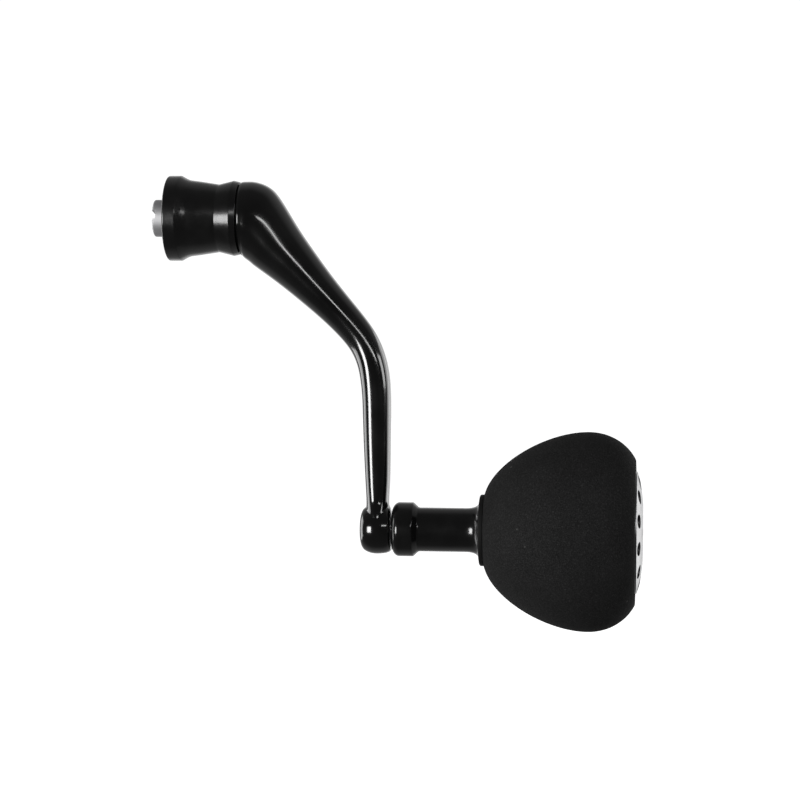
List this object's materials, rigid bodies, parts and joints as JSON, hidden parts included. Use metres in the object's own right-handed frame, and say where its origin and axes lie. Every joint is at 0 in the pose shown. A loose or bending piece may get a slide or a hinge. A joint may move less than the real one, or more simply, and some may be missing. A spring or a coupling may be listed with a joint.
{
  "type": "fishing reel crank handle",
  "caption": "Screw-in crank handle for a spinning reel: slotted drive screw, bell collar, cranked arm and a round foam power knob on ball bearings.",
  "frame": {"origin": "on the drive axis, in the plane of the bell collar's mouth, which is the face that meets the reel", "axes": "+X along the drive axis, away from the reel, and parallel to the knob's axis; +Z from the knob towards the drive axis; +Y to the back"},
  "size_m": [0.1192, 0.0478, 0.1093],
  "materials": {
    "arm_black": "gloss black coat over forged aluminium",
    "bell_black": "semi-gloss black anodised, turned",
    "neck_black": "gloss black anodised, turned",
    "trim_silver": "satin clear anodised",
    "cap_silver": "satin blasted and clear anodised, fine turning lines",
    "screw_steel": "turned stainless steel, satin",
    "bearing_steel": "ground and polished bearing steel",
    "ring_plastic": "matte black moulded",
    "core_plastic": "matte black moulded",
    "grip_foam": "matte closed-cell foam with a fine grain",
    "seal_rubber": "matte black moulded rubber"
  },
  "bodies": {
    "arm": {"drive_screw": "screw_steel", "screw_o_ring": "seal_rubber", "bell_collar": "bell_black", "seat_washer": "seal_rubber", "crank_arm": "arm_black", "set_screw": "screw_steel", "knob_axle": "screw_steel", "front_inner_race": "bearing_steel", "bearing_spacer": "trim_silver", "rear_inner_race": "bearing_steel", "axle_washer": "screw_steel", "axle_screw": "screw_steel"},
    "knob": {"front_outer_race": "bearing_steel", "rear_outer_race": "bearing_steel", "neck_dust_seal": "seal_rubber", "knob_neck": "neck_black", "foam_stop_ring": "ring_plastic", "knob_core": "core_plastic", "foam_grip": "grip_foam", "end_cap": "cap_silver", "centre_plug": "cap_silver", "plug_o_ring": "seal_rubber"},
    "front_cage": {"front_ball_cage": "bearing_steel"},
    "rear_cage": {"rear_ball_cage": "bearing_steel"}
  },
  "joints": [
    {"name": "knob_spin", "type": "hinge", "parent": "arm", "child": "knob", "pos_m": [0.07, 0, -0.075], "axis": [1, 0, 0], "continuous": true},
    {"name": "front_cage_spin", "type": "hinge", "parent": "arm", "child": "front_cage", "pos_m": [0.0576, 0, -0.075], "axis": [1, 0, 0], "continuous": true},
    {"name": "rear_cage_spin", "type": "hinge", "parent": "arm", "child": "rear_cage", "pos_m": [0.087, 0, -0.075], "axis": [1, 0, 0], "continuous": true}
  ],
  "couplings": [
    {"joint": "front_cage_spin", "follows": "knob_spin", "ratio": 0.5694},
    {"joint": "rear_cage_spin", "follows": "knob_spin", "ratio": 0.5694}
  ]
}
